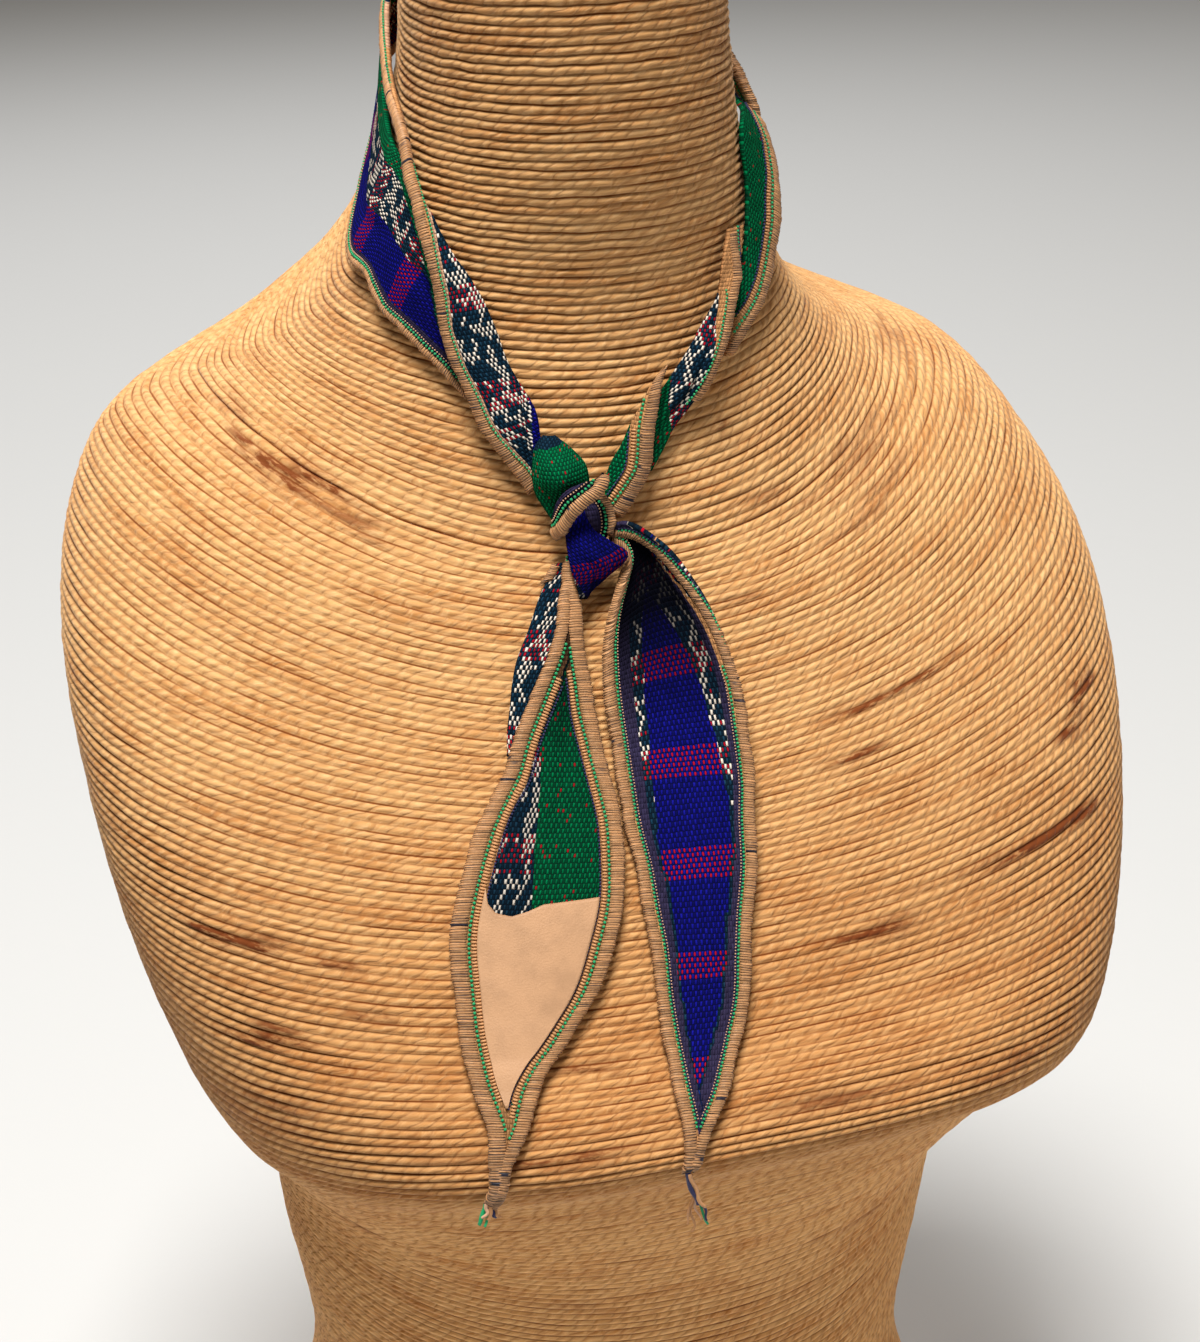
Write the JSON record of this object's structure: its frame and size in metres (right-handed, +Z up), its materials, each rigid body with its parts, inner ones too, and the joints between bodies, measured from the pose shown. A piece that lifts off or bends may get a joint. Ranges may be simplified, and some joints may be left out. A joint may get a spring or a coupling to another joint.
{
  "type": "neck scarf on dress form",
  "caption": "Narrow hand-woven neck scarf with pointed, overlocked ends, tied in front round the neck of a limbless cord-wound dress form.",
  "frame": {"origin": "middle of the bounding box, on the floor under the form's flat base", "axes": "+Z up the neck, the front of the form and the knot face -Y, +X to the form's own left"},
  "size_m": [0.3518, 0.3089, 0.6772],
  "materials": {
    "form_rope": "natural twisted cord, matt",
    "weave_green": "coarse plain weave, matt",
    "weave_blue": "coarse plain weave, matt",
    "weave_ikat": "coarse plain weave with tie-dyed white, matt",
    "overlock": "overlocked thread, satin",
    "hide": "plain undyed leather, matt"
  },
  "bodies": {
    "root": {"form": "form_rope", "neck_back": "weave_ikat", "neck_left_under": "weave_blue", "neck_left_fold": "weave_ikat", "neck_right_a": "weave_green", "neck_right_b": "weave_ikat", "neck_right_c": "weave_green", "knot_ball": "weave_green", "knot_loop": "overlock", "knot_edge": "overlock", "knot_centre": "weave_blue", "tail_left_fold": "weave_ikat", "tail_left": "weave_green", "tail_right": "weave_blue", "label": "hide"}
  },
  "joints": []
}
